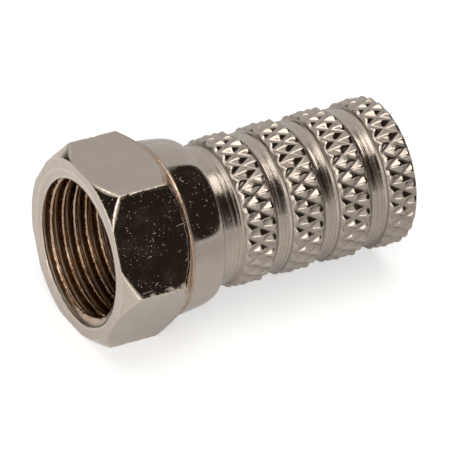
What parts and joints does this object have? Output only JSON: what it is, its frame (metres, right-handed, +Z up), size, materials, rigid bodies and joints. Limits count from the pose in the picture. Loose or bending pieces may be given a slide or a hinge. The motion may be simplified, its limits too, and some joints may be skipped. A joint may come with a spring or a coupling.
{
  "type": "coaxial f connector",
  "caption": "Twist-on F plug for coaxial cable: a hexagon coupling nut that turns freely on a knurled, bored cable sleeve.",
  "frame": {"origin": "middle of the plug's length, on the surface that the nut's lower flat rests on", "axes": "-X out of the nut's mouth, towards the jack; +X out of the cable end; +Z up from the flat it lies on"},
  "size_m": [0.0212, 0.0126, 0.011],
  "materials": {
    "nut_nickel": "nickel plate on brass, polished, lightly scuffed",
    "sleeve_nickel": "nickel plate on brass, polished, with fine turning marks"
  },
  "bodies": {
    "sleeve": {"knurled_sleeve": "sleeve_nickel"},
    "nut": {"coupling_nut": "nut_nickel"}
  },
  "joints": [
    {"name": "nut_spin", "type": "hinge", "parent": "sleeve", "child": "nut", "pos_m": [-0.00343, 0, 0.0055], "axis": [-1, 0, 0], "continuous": true}
  ]
}
